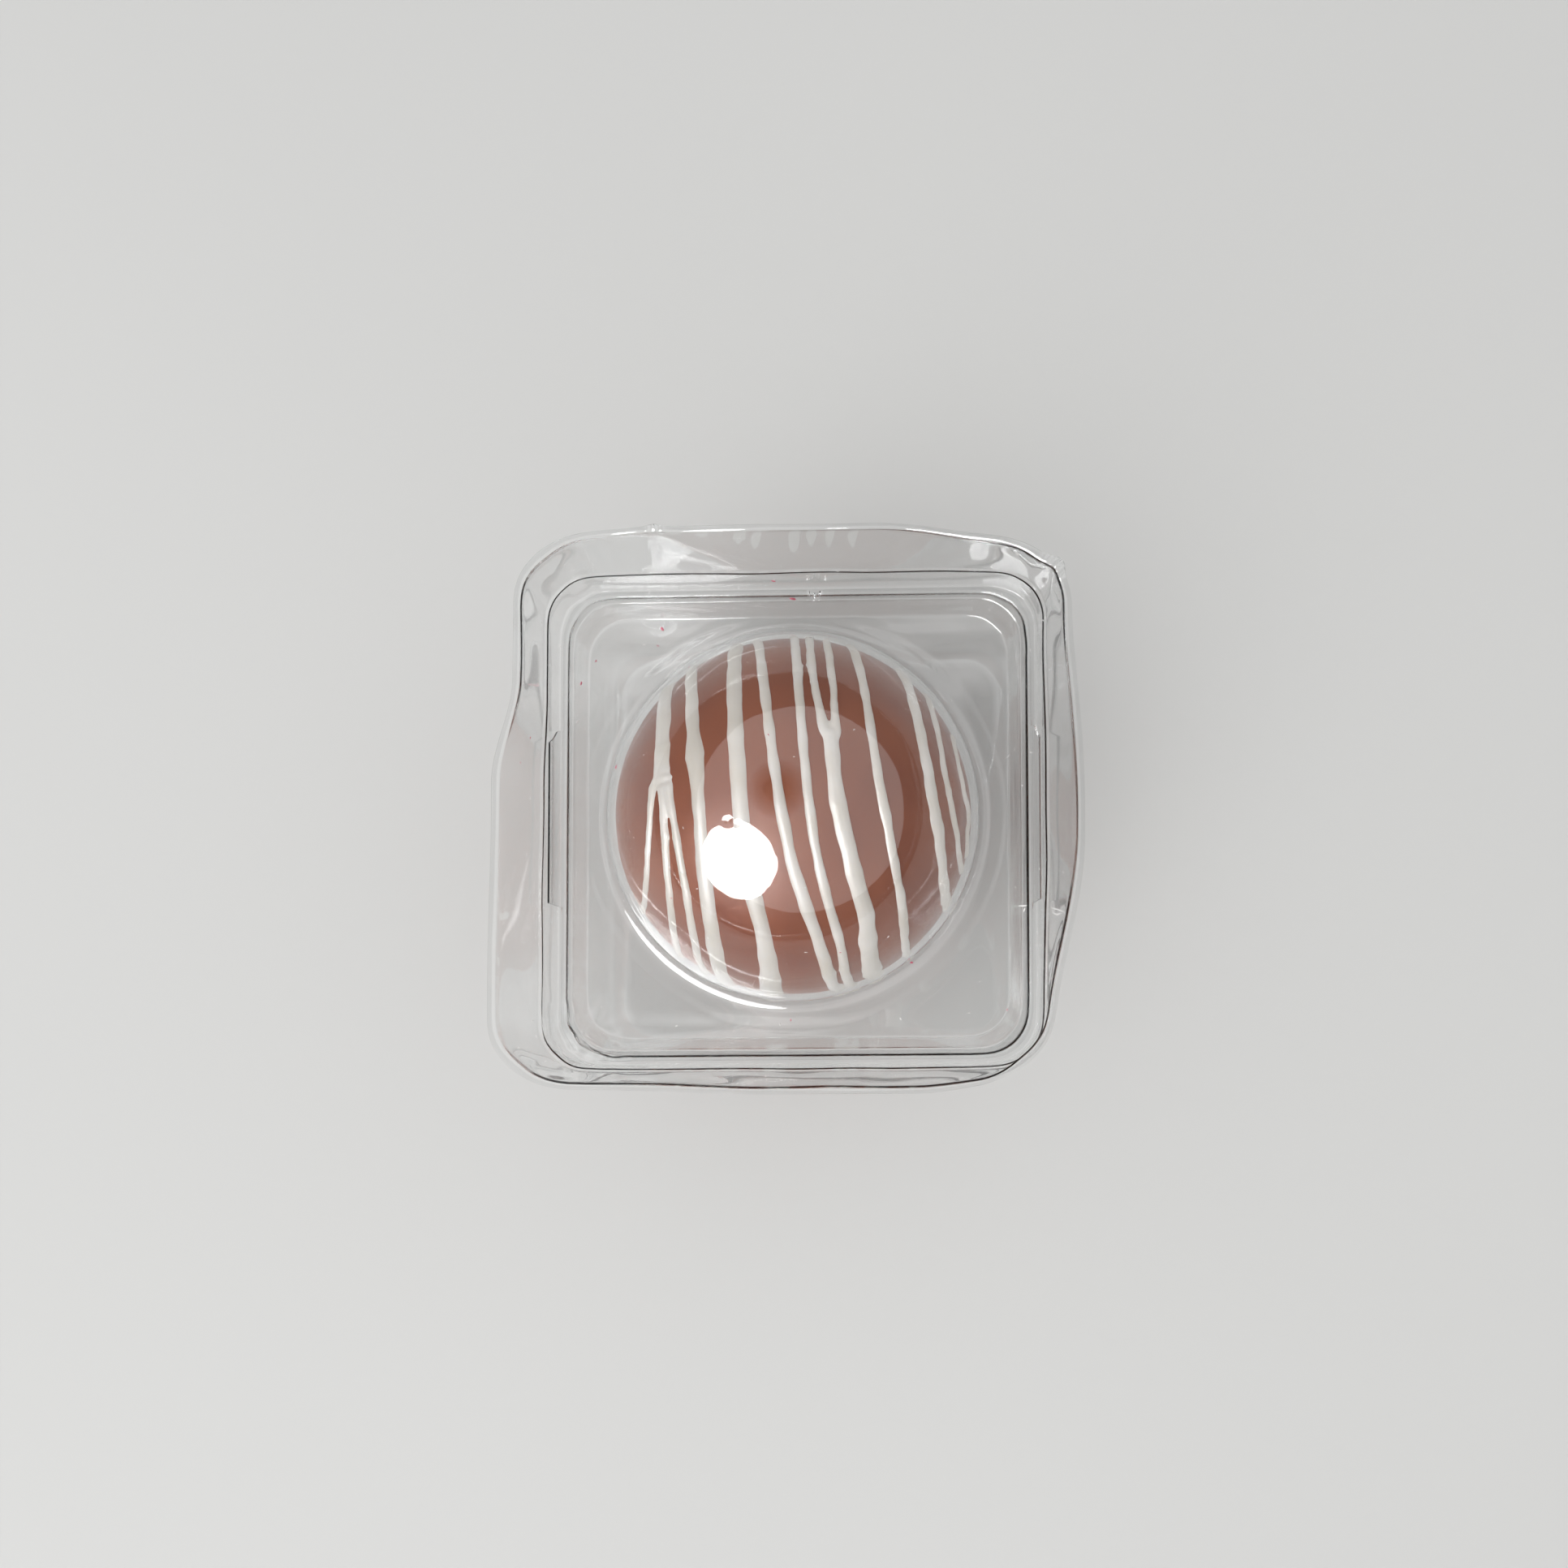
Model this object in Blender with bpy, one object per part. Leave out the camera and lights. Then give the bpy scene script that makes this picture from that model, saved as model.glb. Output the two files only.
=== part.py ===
# A chocolate ball with white drizzle, shut in its own clear pack of two formed sheets.
# The pack stands on its floor at Z = 0. X is the width, and the drizzle runs along Y.
import math

import bmesh
import bpy
from mathutils import Vector

MM = 0.001

# The film that both sheets are formed from, and the air left between touching pieces
FILM = 0.4 * MM
GAP = 0.3 * MM

# The ball, and how far it sits off the middle of the pack
BALL_RADIUS = 24.8 * MM
BALL_OFFSET_X = -0.6 * MM
BALL_OFFSET_Y = 1.35 * MM
BALL_SEGMENTS = 44
BALL_RINGS = 22
BALL_HEIGHT = FILM + GAP + BALL_RADIUS

# The drizzle: each ridge is a flattened bead, sunk a little into the ball
RIDGE_BASE_HEIGHT = 0.2 * MM
RIDGE_HEIGHT_FOR_WIDTH = 0.16
RIDGE_TALLEST = 0.6 * MM
RIDGE_SUNK = 0.35 * MM
RIDGE_SIDES = 6
RIDGE_STEP = 4.0 * MM
RIDGE_END_SCALE = 0.55
RIDGE_END_INSET = 0.4 * MM
SLOPE_STEP = 0.01

# One row a ridge: the angle over the top at its back and front end in degrees, its width there in mm,
# and its distance across the ball in mm at even steps from back to front
RIDGES = {
    "left_trunk": (82, 3, 3.0, 3.1, (-17.3, -17.0, -16.8, -16.6, -16.5)),
    "left_branch_outer": (9, -94, 1.3, 1.1, (-17.8, -18.7, -19.9, -21.2)),
    "left_branch_middle": (8, -98, 1.5, 1.3, (-16.4, -15.9, -15.8, -15.8)),
    "left_branch_inner": (8, -99, 1.4, 1.3, (-15.5, -13.7, -12.7, -12.1)),
    "second": (83, -100, 1.9, 2.6, (-13.9, -13.0, -12.0, -11.0, -10.3, -9.7, -9.3)),
    "third": (85, -102, 2.0, 2.7, (-7.7, -7.0, -6.1, -5.2, -3.3, -2.6, -3.0)),
    "fourth": (86, -103, 1.3, 1.8, (-5.1, -3.4, -1.5, 0.5, 3.5, 5.4, 6.4)),
    "fifth": (87, -102, 1.3, 1.4, (0.1, 1.5, 2.8, 4.2, 6.4, 7.7, 8.1)),
    "fork_left": (86, 18, 1.25, 1.2, (2.4, 3.0, 3.6, 4.7, 5.7)),
    "fork_right": (87, 18, 1.15, 1.1, (4.6, 5.4, 6.2, 7.0, 7.7)),
    "fork_stem": (24, -105, 2.1, 2.6, (6.7, 7.5, 9.2, 10.9, 11.1, 11.1, 11.1)),
    "seventh": (88, -106, 1.4, 1.5, (7.8, 10.0, 12.1, 14.2, 15.7, 15.8, 15.5)),
    "eighth": (90, -109, 2.1, 2.1, (14.7, 17.0, 19.1, 20.6, 21.2, 21.3, 21.4)),
    "ninth": (91, -84, 1.3, 1.3, (18.2, 20.4, 22.3, 23.2, 23.5)),
    "tenth": (74, -82, 1.2, 1.2, (22.2, 23.9, 24.4, 24.1)),
}

# Both sheets are rounded squares, a little longer along Y. Past the lid's edge, the half-width along Y
# falls behind the one along X. The corner radius grows with the half-width
SQUARE_HALF = 32.7 * MM
HALF_Y_MORE = 0.15 * MM
HALF_Y_LAG = 0.2
CORNER_RADIUS = 6.2 * MM
CORNER_RADIUS_GROWTH = 0.5
SIDE_STEPS = 8
CORNER_STEPS = 4
BEND_STEPS = 2

# The tray: the half-width of each bend
FLOOR_HALF = 28.9 * MM
LEDGE_INNER_HALF = 32.0 * MM
LEDGE_OUTER_HALF = 33.5 * MM
WALL_STEP_HALF = 34.8 * MM
WALL_STEP_OUT = 0.5 * MM
FLANGE_INNER_HALF = 39.2 * MM
FLANGE_OUTER_HALF = 40.3 * MM
# and its height
LEDGE_HEIGHT = 27.1 * MM
WALL_STEP_HEIGHT = 32.4 * MM
WALL_STEP_RISE = 0.4 * MM
FLANGE_HEIGHT = 44.8 * MM

FLOOR_BEND = 2.4 * MM
LEDGE_BEND = 0.5 * MM
FLANGE_BEND = 0.7 * MM

# The thin walls of the tray lean in or out of true, more so towards the flange. A side's lean fades out
# between these two shares of its distance from the middle
LEAN_POWER = 1.6
LEAN_NONE_AT = 0.3
LEAN_FULL_AT = 0.9
# One row a lean: the side that moves, the two places along it in mm where the lean starts and is full,
# and how far the flange moves out in mm
WALL_LEANS = (
    ((-1, 0), 4.0, 18.0, -2.8),
    ((-1, 0), -2.0, -20.0, 0.3),
    ((1, 0), 2.0, 30.0, -1.5),
    ((1, 0), -4.0, -34.0, -4.3),
    ((0, 1), 12.0, 34.0, -2.2),
    ((0, 1), -18.0, -34.0, -0.8),
    ((0, -1), 0.0, -34.0, -0.9),
    ((0, -1), 18.0, 36.0, -1.5),
)

# The lid: a rim on the ledge, a short plug wall inside it, a flat panel and the dome over the ball
LID_EDGE_HALF = SQUARE_HALF
PLUG_TOP_HALF = 31.15 * MM
PANEL_HALF = 29.5 * MM
LID_RIM_HEIGHT = LEDGE_HEIGHT + FILM + GAP
PANEL_HEIGHT = 25.1 * MM
PLUG_BEND = 0.5 * MM
DOME_CLEARANCE = 0.3 * MM
DOME_RADIUS = BALL_RADIUS + RIDGE_TALLEST + DOME_CLEARANCE + FILM / 2
DOME_FLARE = 1.3 * MM
DOME_RINGS = 9

# A tab stands up from the rim along the middle of the left and the right side, against the wall of the tray
TAB_FRONT = -11.6 * MM
TAB_BACK = 13.4 * MM
TAB_CHAMFER = 2.4 * MM
TAB_FOOT_OUT = 0.25 * MM
TAB_FOOT_RISE = 0.6 * MM
TAB_TOP_OUT = 1.2 * MM
TAB_TOP_RISE = 5.2 * MM
TAB_END_SLACK = 0.03 * MM

SHARP_ANGLE = math.radians(35)


def clear_scene():
    for obj in list(bpy.data.objects):
        bpy.data.objects.remove(obj, do_unlink=True)


def make_material(name, color, roughness, alpha=1.0):
    material = bpy.data.materials.new(name)
    material.use_nodes = True
    shader = material.node_tree.nodes["Principled BSDF"]
    shader.inputs["Base Color"].default_value = (*color, 1.0)
    shader.inputs["Roughness"].default_value = roughness
    shader.inputs["Metallic"].default_value = 0.0
    shader.inputs["Alpha"].default_value = alpha
    return material


def add_object(name, shape, material):
    mesh = bpy.data.meshes.new(name)
    shape.to_mesh(mesh)
    shape.free()
    mesh.materials.append(material)
    obj = bpy.data.objects.new(name, mesh)
    bpy.context.scene.collection.objects.link(obj)
    return obj


def smooth_step(start, full, value):
    """0 at start and before it, 1 at full and past it; full may lie on either side of start."""
    t = (value - start) / (full - start)
    t = min(max(t, 0.0), 1.0)
    return t * t * (3 - 2 * t)


# Drizzle and ball


def across_at(stations, t):
    """A smooth curve through evenly spaced values."""
    last = len(stations) - 1
    place = min(max(t, 0.0), 1.0) * last
    i = min(int(place), last - 1)
    f = place - i
    here, after = stations[i], stations[i + 1]
    before = stations[i - 1] if i > 0 else 2 * here - after
    beyond = stations[i + 2] if i + 2 <= last else 2 * after - here
    straight = here + 0.5 * f * (after - before)
    bend = 2 * before - 5 * here + 4 * after - beyond
    twist = 3 * here - before - 3 * after + beyond
    return straight + 0.5 * f * f * (bend + twist * f)


def point_on_ball(across, angle, radius):
    """The point at a distance across the ball and an angle over its top, on a sphere of this radius."""
    x = across / BALL_RADIUS * radius
    ring = math.sqrt(radius**2 - x**2)
    return Vector((x, ring * math.sin(angle), ring * math.cos(angle)))


def ridge_shape(back, front, width_back, width_front, stations):
    """A closed bead with blunt round ends, lying on the ball."""
    back = math.radians(back)
    front = math.radians(front)
    steps = max(3, round((back - front) * BALL_RADIUS / RIDGE_STEP))
    end_inset = RIDGE_END_INSET / BALL_RADIUS / (back - front)
    places = [0.0, end_inset]
    places += [i / steps for i in range(1, steps)]
    places += [1.0 - end_inset, 1.0]

    def surface(t):
        across = across_at(stations, t) * MM
        return point_on_ball(across, back + (front - back) * t, BALL_RADIUS)

    shape = bmesh.new()
    rings = []
    for t in places:
        at = surface(t)
        along = (surface(t + SLOPE_STEP) - surface(t - SLOPE_STEP)).normalized()
        out = at.normalized()
        side = out.cross(along)
        width = (width_back + (width_front - width_back) * t) * MM
        tall = min(RIDGE_BASE_HEIGHT + RIDGE_HEIGHT_FOR_WIDTH * width, RIDGE_TALLEST)
        if t in (0.0, 1.0):
            width *= RIDGE_END_SCALE
            tall *= RIDGE_END_SCALE
        middle = at + out * (tall - RIDGE_SUNK) / 2
        half_tall = (tall + RIDGE_SUNK) / 2
        ring = []
        for i in range(RIDGE_SIDES):
            turn = 2 * math.pi * i / RIDGE_SIDES
            spread = side * (width / 2 * math.cos(turn))
            ring.append(shape.verts.new(middle + spread + out * (half_tall * math.sin(turn))))
        rings.append(ring)
    for near, far in zip(rings, rings[1:]):
        for i in range(RIDGE_SIDES):
            j = (i + 1) % RIDGE_SIDES
            shape.faces.new((near[i], near[j], far[j], far[i]))
    shape.faces.new(rings[0])
    shape.faces.new(rings[-1])
    bmesh.ops.recalc_face_normals(shape, faces=shape.faces)
    return shape


def make_ball():
    chocolate = make_material("milk_chocolate", (0.2, 0.075, 0.045), 0.35)
    white = make_material("white_chocolate", (0.8, 0.76, 0.7), 0.45)

    shape = bmesh.new()
    bmesh.ops.create_uvsphere(
        shape, u_segments=BALL_SEGMENTS, v_segments=BALL_RINGS, radius=BALL_RADIUS
    )
    # The poles of the grid lie at the sides, so that the grid runs along the drizzle
    for vert in shape.verts:
        vert.co = Vector((vert.co.z, vert.co.y, -vert.co.x))
    ball = add_object("chocolate_sphere", shape, chocolate)

    drizzle = bpy.data.collections.new("drizzle")
    bpy.context.scene.collection.children.link(drizzle)
    for name, row in RIDGES.items():
        ridge = add_object("drizzle_" + name, ridge_shape(*row), white)
        bpy.context.scene.collection.objects.unlink(ridge)
        drizzle.objects.link(ridge)

    union = ball.modifiers.new("drizzle", "BOOLEAN")
    union.operation = "UNION"
    union.operand_type = "COLLECTION"
    union.collection = drizzle
    bpy.context.view_layer.update()
    depsgraph = bpy.context.evaluated_depsgraph_get()
    fused = bpy.data.meshes.new_from_object(ball.evaluated_get(depsgraph))
    ball.modifiers.remove(union)
    ball.data = fused
    for ridge in list(drizzle.objects):
        bpy.data.objects.remove(ridge, do_unlink=True)
    bpy.data.collections.remove(drizzle)

    ball.data.shade_smooth()
    ball.data.set_sharp_from_angle(angle=SHARP_ANGLE)
    ball.location = (BALL_OFFSET_X, BALL_OFFSET_Y, BALL_HEIGHT)
    return ball


# The two sheets


def square_ring(half):
    """Points round a rounded square, counterclockwise from the foot of its right side."""
    past = half - SQUARE_HALF
    radius = CORNER_RADIUS + past * CORNER_RADIUS_GROWTH
    half_y = half + HALF_Y_MORE - max(past, 0.0) * HALF_Y_LAG
    reach = (half - radius, half_y - radius)
    points = []
    for side in range(4):
        turn = side * math.pi / 2
        out = (round(math.cos(turn)), round(math.sin(turn)))
        on = (-out[1], out[0])
        start = (out[0] - on[0], out[1] - on[1])
        end = (out[0] + on[0], out[1] + on[1])
        for i in range(SIDE_STEPS):
            t = i / SIDE_STEPS
            x = reach[0] * (start[0] + (end[0] - start[0]) * t) + radius * out[0]
            y = reach[1] * (start[1] + (end[1] - start[1]) * t) + radius * out[1]
            points.append((x, y))
        for i in range(CORNER_STEPS):
            bend = turn + math.pi / 2 * i / CORNER_STEPS
            x = reach[0] * end[0] + radius * math.cos(bend)
            y = reach[1] * end[1] + radius * math.sin(bend)
            points.append((x, y))
    return points


def round_ring(radius):
    """As many points round the ball's axis, in step with square_ring."""
    count = 4 * (SIDE_STEPS + CORNER_STEPS)
    points = []
    for i in range(count):
        turn = 2 * math.pi * (i - SIDE_STEPS / 2) / count
        points.append((BALL_OFFSET_X + radius * math.cos(turn), BALL_OFFSET_Y + radius * math.sin(turn)))
    return points


def bent_profile(corners):
    """Half-widths and heights along a profile of (half, height, bend) corners, with the inner ones rounded."""
    profile = [corners[0][:2]]
    for before, here, after in zip(corners, corners[1:], corners[2:]):
        at = Vector(here[:2])
        to_before = (Vector(before[:2]) - at).normalized()
        to_after = (Vector(after[:2]) - at).normalized()
        half_angle = to_before.angle(to_after) / 2
        reach = here[2] / math.tan(half_angle)
        center = at + (to_before + to_after).normalized() * here[2] / math.sin(half_angle)
        start = at + to_before * reach - center
        end = at + to_after * reach - center
        for i in range(BEND_STEPS + 1):
            spoke = start.slerp(end, i / BEND_STEPS).normalized() * here[2]
            profile.append(tuple(center + spoke))
    profile.append(corners[-1][:2])
    return profile


def add_ring(shape, points, height):
    return [shape.verts.new((x, y, height)) for x, y in points]


def skin(shape, inner, outer):
    count = len(inner)
    for i in range(count):
        j = (i + 1) % count
        shape.faces.new((inner[i], outer[i], outer[j], inner[j]))


def give_thickness(sheet):
    film = sheet.modifiers.new("film", "SOLIDIFY")
    film.thickness = FILM
    film.offset = 0.0
    film.use_even_offset = True
    film.use_quality_normals = True
    sheet.data.shade_smooth()
    sheet.data.set_sharp_from_angle(angle=SHARP_ANGLE)


def lean_walls(shape):
    """The leans grow from nothing at the ledge to their full size at the flange."""
    for vert in shape.verts:
        rise = (vert.co.z - LEDGE_HEIGHT) / (FLANGE_HEIGHT - LEDGE_HEIGHT)
        if rise <= 0:
            continue
        x, y = vert.co.x, vert.co.y
        for (side_x, side_y), start, full, push in WALL_LEANS:
            outward = (x * side_x + y * side_y) / FLANGE_OUTER_HALF
            along = y if side_x else x
            amount = push * MM * rise**LEAN_POWER * smooth_step(start * MM, full * MM, along)
            amount *= smooth_step(LEAN_NONE_AT, LEAN_FULL_AT, outward)
            vert.co.x += side_x * amount
            vert.co.y += side_y * amount


def make_tray():
    corners = (
        (FLOOR_HALF / 2, FILM / 2, 0.0),
        (FLOOR_HALF, FILM / 2, FLOOR_BEND),
        (LEDGE_INNER_HALF, LEDGE_HEIGHT, LEDGE_BEND),
        (LEDGE_OUTER_HALF, LEDGE_HEIGHT, LEDGE_BEND),
        (WALL_STEP_HALF, WALL_STEP_HEIGHT, LEDGE_BEND),
        (WALL_STEP_HALF + WALL_STEP_OUT, WALL_STEP_HEIGHT + WALL_STEP_RISE, LEDGE_BEND),
        (FLANGE_INNER_HALF, FLANGE_HEIGHT, FLANGE_BEND),
        (FLANGE_OUTER_HALF, FLANGE_HEIGHT, 0.0),
    )
    profile = bent_profile(corners)[1:]
    shape = bmesh.new()
    rings = [add_ring(shape, square_ring(half), height) for half, height in profile]
    shape.faces.new(rings[0])
    for inner, outer in zip(rings, rings[1:]):
        skin(shape, inner, outer)
    lean_walls(shape)
    tray = add_object("tray", shape, make_material("clear_film", (0.86, 0.87, 0.88), 0.08, 0.3))
    give_thickness(tray)
    return tray


def dome_profile():
    """Radius and height from the panel up: the flare round the dome's foot, then the dome to its crown."""
    foot = PANEL_HEIGHT + DOME_FLARE
    start = math.asin((foot - BALL_HEIGHT) / DOME_RADIUS)
    center_x = DOME_RADIUS * math.cos(start) + DOME_FLARE
    profile = []
    for i in range(BEND_STEPS + 1):
        turn = math.pi / 2 * i / BEND_STEPS
        profile.append((center_x - DOME_FLARE * math.sin(turn), foot - DOME_FLARE * math.cos(turn)))
    for i in range(1, DOME_RINGS):
        lift = start + (math.pi / 2 - start) * i / DOME_RINGS
        profile.append((DOME_RADIUS * math.cos(lift), BALL_HEIGHT + DOME_RADIUS * math.sin(lift)))
    return profile


def is_on_tab(y):
    return TAB_FRONT - TAB_END_SLACK < y < TAB_BACK + TAB_END_SLACK


def raise_tab(shape, rim, side_x):
    """Turns up the part of the rim that lies between the tab's ends, on the left or the right side."""
    foot = [e for e in rim if all(v.co.x * side_x > PLUG_TOP_HALF and is_on_tab(v.co.y) for v in e.verts)]
    for out, rise, cut in ((TAB_FOOT_OUT, TAB_FOOT_RISE, 0.0), (TAB_TOP_OUT, TAB_TOP_RISE, TAB_CHAMFER)):
        made = bmesh.ops.extrude_edge_only(shape, edges=foot)["geom"]
        verts = [g for g in made if isinstance(g, bmesh.types.BMVert)]
        foot = [g for g in made if isinstance(g, bmesh.types.BMEdge) and all(v in verts for v in g.verts)]
        back = max(v.co.y for v in verts)
        for vert in verts:
            vert.co.x = side_x * (LID_EDGE_HALF + out)
            vert.co.z = LID_RIM_HEIGHT + rise
            if vert.co.y == back:
                vert.co.y -= cut


def set_tab_ends(ring):
    """Slides the ring's nearest points to the ends of the tabs, on the left and the right side."""
    for side_x in (-1, 1):
        on_side = [i for i, p in enumerate(ring) if p[0] * side_x > PLUG_TOP_HALF]
        for end in (TAB_FRONT, TAB_BACK):
            nearest = min(on_side, key=lambda i: abs(ring[i][1] - end))
            ring[nearest] = (ring[nearest][0], end)


def make_lid():
    corners = (
        (PANEL_HALF - PLUG_BEND * 3, PANEL_HEIGHT, 0.0),
        (PANEL_HALF, PANEL_HEIGHT, PLUG_BEND),
        (PLUG_TOP_HALF, LID_RIM_HEIGHT, PLUG_BEND),
        (LID_EDGE_HALF, LID_RIM_HEIGHT, 0.0),
    )
    shape = bmesh.new()
    rings = [add_ring(shape, round_ring(radius), height) for radius, height in reversed(dome_profile())]
    for half, height in bent_profile(corners)[1:-1]:
        rings.append(add_ring(shape, square_ring(half), height))
    edge = square_ring(LID_EDGE_HALF)
    set_tab_ends(edge)
    rings.append(add_ring(shape, edge, LID_RIM_HEIGHT))

    crown = shape.verts.new((BALL_OFFSET_X, BALL_OFFSET_Y, BALL_HEIGHT + DOME_RADIUS))
    for i, vert in enumerate(rings[0]):
        shape.faces.new((crown, vert, rings[0][(i + 1) % len(rings[0])]))
    for inner, outer in zip(rings, rings[1:]):
        skin(shape, inner, outer)
    rim = [e for e in shape.edges if e.is_boundary]
    for side_x in (-1, 1):
        raise_tab(shape, rim, side_x)
    lid = add_object("lid", shape, make_material("clear_lid_film", (0.86, 0.87, 0.88), 0.06, 0.3))
    give_thickness(lid)
    return lid


def stand_on_origin(pieces):
    """Moves the whole so that its box stands over the origin, with its lowest point at Z = 0."""
    depsgraph = bpy.context.evaluated_depsgraph_get()
    corners = []
    for piece in pieces:
        shown = piece.evaluated_get(depsgraph)
        corners += [piece.matrix_world @ vert.co for vert in shown.data.vertices]
    low = [min(c[i] for c in corners) for i in range(3)]
    high = [max(c[i] for c in corners) for i in range(3)]
    shift = Vector(((low[0] + high[0]) / 2, (low[1] + high[1]) / 2, low[2]))
    for piece in pieces:
        piece.location -= shift


clear_scene()
pack = [make_ball(), make_tray(), make_lid()]
bpy.context.view_layer.update()
stand_on_origin(pack)
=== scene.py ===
import math
import random

import bmesh
import bpy
from mathutils import Matrix, Vector, noise


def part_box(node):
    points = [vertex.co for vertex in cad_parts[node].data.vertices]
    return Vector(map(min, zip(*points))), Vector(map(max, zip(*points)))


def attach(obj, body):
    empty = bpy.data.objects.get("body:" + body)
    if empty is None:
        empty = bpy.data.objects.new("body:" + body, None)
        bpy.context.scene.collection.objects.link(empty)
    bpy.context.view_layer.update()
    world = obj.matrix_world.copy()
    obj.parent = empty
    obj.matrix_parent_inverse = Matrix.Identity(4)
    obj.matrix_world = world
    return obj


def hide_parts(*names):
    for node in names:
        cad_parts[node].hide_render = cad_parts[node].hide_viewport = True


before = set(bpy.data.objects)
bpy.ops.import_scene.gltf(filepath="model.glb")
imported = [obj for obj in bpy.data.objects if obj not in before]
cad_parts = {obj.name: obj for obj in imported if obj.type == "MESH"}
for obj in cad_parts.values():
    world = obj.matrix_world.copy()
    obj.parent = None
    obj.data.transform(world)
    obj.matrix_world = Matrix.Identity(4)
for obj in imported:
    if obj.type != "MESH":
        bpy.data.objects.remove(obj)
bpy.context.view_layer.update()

# A chocolate ball with white drizzle, shut in a clear pack of two formed sheets.
# Lengths in the settings are in millimetres, and the scene is in metres.
mm = 0.001

ballRadius = 24.8 * mm
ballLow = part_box("chocolate_sphere")[0]
lidLow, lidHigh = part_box("lid")
packMiddle = (lidLow + lidHigh) / 2
packMiddle.z = ballLow.z + ballRadius
ballOffMiddle = Vector((-0.6, 1.35, 0.0)) * mm  # the ball lies a little to the left and the back
ballMiddle = packMiddle + ballOffMiddle


# Small helpers

def leaveEditMode():
    if bpy.context.object and bpy.context.object.mode != "OBJECT":
        bpy.ops.object.mode_set(mode="OBJECT")


def deselectAll():
    leaveEditMode()
    bpy.ops.object.select_all(action="DESELECT")


def pick(obj):
    deselectAll()
    obj.select_set(True)
    bpy.context.view_layer.objects.active = obj


def newest(name):
    obj = bpy.context.object
    obj.name = name
    obj.data.name = name
    return obj


def settle(obj):  # the object's place, turn and scale go into its mesh
    pick(obj)
    bpy.ops.object.transform_apply(location=True, rotation=True, scale=True)


def addModifier(obj, kind, **values):
    pick(obj)
    modifier = obj.modifiers.new(kind.lower(), kind)
    for key, value in values.items():
        setattr(modifier, key, value)
    bpy.ops.object.modifier_apply(modifier=modifier.name)


def selectEdges(obj, wanted):
    bpy.ops.mesh.select_mode(type="EDGE")
    bpy.ops.mesh.select_all(action="DESELECT")
    shape = bmesh.from_edit_mesh(obj.data)
    for edge in shape.edges:
        if wanted(edge):
            edge.select_set(True)
    bmesh.update_edit_mesh(obj.data)


def smoothStep(start, full, value):
    t = min(max((value - start) / (full - start), 0.0), 1.0)
    return t * t * (3 - 2 * t)


def hill(distance, reach):  # 1 in the middle, fading to 0 some way out
    return math.exp(-((distance / reach) ** 2))


def ripple(point, size, seed):  # soft noise between about -1 and 1, with bumps of this size
    return noise.noise(point / size + Vector((seed, seed * 0.7, -seed)))


# Camera: nearly overhead, leaning a little to the right and to the front

cameraSettings = {
    "frameWidth": 1932,  # pixels
    "leanRight": 4.6,  # degrees
    "leanFront": 8.0,
    "distance": 700.0,
    "pixelAtBall": 0.113,  # millimetres that one pixel covers at the ball
    "ballPixel": (977.5, 1005.5),
    "sensor": 36.0,
}


def makeCamera(s):
    leanRight = math.radians(s["leanRight"])
    leanFront = math.radians(s["leanFront"])
    distance = s["distance"] * mm
    pixel = s["pixelAtBall"] * mm
    half = s["frameWidth"] / 2
    back = Vector((math.sin(leanRight) * math.cos(leanFront), -math.sin(leanFront),
                   math.cos(leanRight) * math.cos(leanFront))).normalized()
    right = Vector((math.cos(leanRight), 0, -math.sin(leanRight)))
    up = back.cross(right).normalized()
    right = up.cross(back)
    aside = right * (half - s["ballPixel"][0]) * pixel + up * (s["ballPixel"][1] - half) * pixel
    data = bpy.data.cameras.new("camera")
    camera = bpy.data.objects.new("camera", data)
    bpy.context.scene.collection.objects.link(camera)
    camera.matrix_world = Matrix.Translation(ballMiddle + back * distance + aside) @ Matrix(
        (right, up, back)).transposed().to_4x4()
    data.sensor_width = s["sensor"]
    data.lens = s["sensor"] * distance / (s["frameWidth"] * pixel)
    data.clip_start = 0.01
    bpy.context.scene.camera = camera
    print("camera ready")
    return camera


camera = makeCamera(cameraSettings)


def seenAt(pixel, height):  # the point at this height that the camera sees at a pixel of the frame
    s = cameraSettings
    half = s["frameWidth"] / 2
    onSensor = s["sensor"] / s["frameWidth"]
    look = Vector(((pixel[0] - half) * onSensor, (half - pixel[1]) * onSensor, -camera.data.lens))
    look = camera.matrix_world.to_3x3() @ look
    eye = camera.matrix_world.translation
    return eye + look * ((height - eye.z) / look.z)


# Materials

def newMaterial(name):
    material = bpy.data.materials.new(name)
    material.use_nodes = True
    return material, material.node_tree.nodes, material.node_tree.links


def addNode(nodes, kind, label="", **inputs):
    node = nodes.new(kind)
    node.label = label
    for key, value in inputs.items():
        node.inputs[key].default_value = value
    return node


def mixColors(nodes, links, factor, first, second, label=""):
    mix = nodes.new("ShaderNodeMix")
    mix.data_type = "RGBA"
    mix.label = label
    links.new(factor, mix.inputs["Factor"])
    for socket, color in ((mix.inputs[6], first), (mix.inputs[7], second)):
        if isinstance(color, bpy.types.NodeSocket):
            links.new(color, socket)
        else:
            socket.default_value = (*color, 1)
    return mix.outputs[2]


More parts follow.
